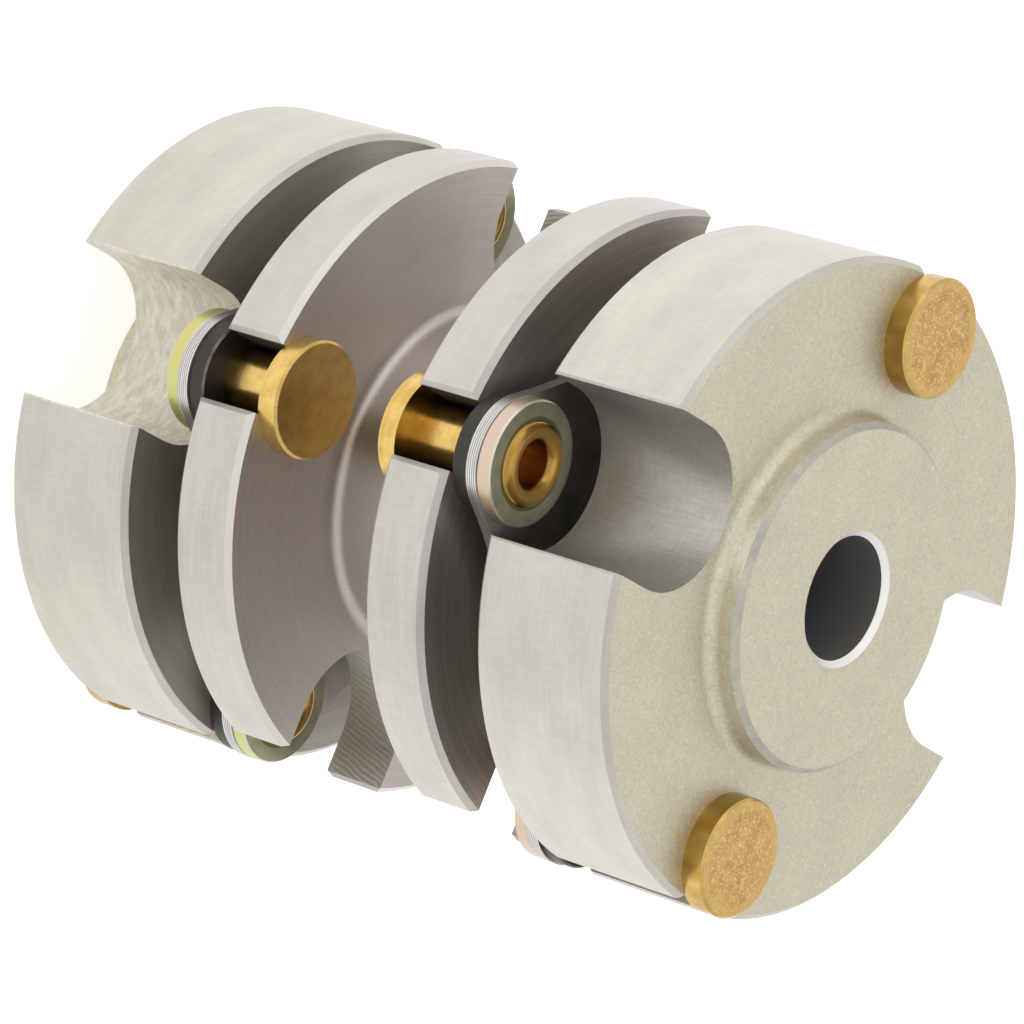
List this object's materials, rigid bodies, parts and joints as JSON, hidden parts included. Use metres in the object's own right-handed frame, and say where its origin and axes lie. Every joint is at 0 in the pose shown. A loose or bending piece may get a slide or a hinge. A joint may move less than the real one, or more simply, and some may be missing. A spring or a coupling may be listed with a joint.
{
  "type": "disc coupling",
  "caption": "Riveted double-flex disc coupling: two round hubs with plain bores, joined through laminated spring disc packs to a flanged centre spool.",
  "frame": {"origin": "centre of the lower hub's boss face, on the shaft axis", "axes": "+Z along the shaft axis towards the upper hub; +X through the rivets of the hubs; +Y through the rivets of the spool"},
  "size_m": [0.032, 0.032, 0.0403],
  "materials": {
    "aluminium_hub": "turned and tumbled aluminium with a fine grain, warm grey",
    "aluminium_spool": "fine-turned aluminium, grey with a faint mauve tone",
    "spring_steel": "bright cold-rolled stainless spring steel",
    "brass": "bright turned brass",
    "black_ring": "black oxide on steel, satin",
    "zinc_yellow": "zinc plate with a yellow chromate tint"
  },
  "bodies": {
    "root": {"spool": "aluminium_spool", "hub_upper": "aluminium_hub", "disc_upper_1": "spring_steel", "disc_upper_2": "spring_steel", "disc_upper_3": "spring_steel", "disc_upper_4": "spring_steel", "disc_upper_5": "spring_steel", "rivet_hub_upper_x_plus": "brass", "spacer_hub_upper_x_plus": "black_ring", "washer_hub_upper_x_plus": "zinc_yellow", "rivet_spool_upper_y_plus": "brass", "spacer_spool_upper_y_plus": "black_ring", "washer_spool_upper_y_plus": "zinc_yellow", "rivet_hub_upper_x_minus": "brass", "spacer_hub_upper_x_minus": "black_ring", "washer_hub_upper_x_minus": "zinc_yellow", "rivet_spool_upper_y_minus": "brass", "spacer_spool_upper_y_minus": "black_ring", "washer_spool_upper_y_minus": "zinc_yellow", "hub_lower": "aluminium_hub", "disc_lower_1": "spring_steel", "disc_lower_2": "spring_steel", "disc_lower_3": "spring_steel", "disc_lower_4": "spring_steel", "disc_lower_5": "spring_steel", "rivet_hub_lower_x_plus": "brass", "spacer_hub_lower_x_plus": "black_ring", "washer_hub_lower_x_plus": "zinc_yellow", "rivet_spool_lower_y_plus": "brass", "spacer_spool_lower_y_plus": "black_ring", "washer_spool_lower_y_plus": "zinc_yellow", "rivet_hub_lower_x_minus": "brass", "spacer_hub_lower_x_minus": "black_ring", "washer_hub_lower_x_minus": "zinc_yellow", "rivet_spool_lower_y_minus": "brass", "spacer_spool_lower_y_minus": "black_ring", "washer_spool_lower_y_minus": "zinc_yellow"}
  },
  "joints": []
}
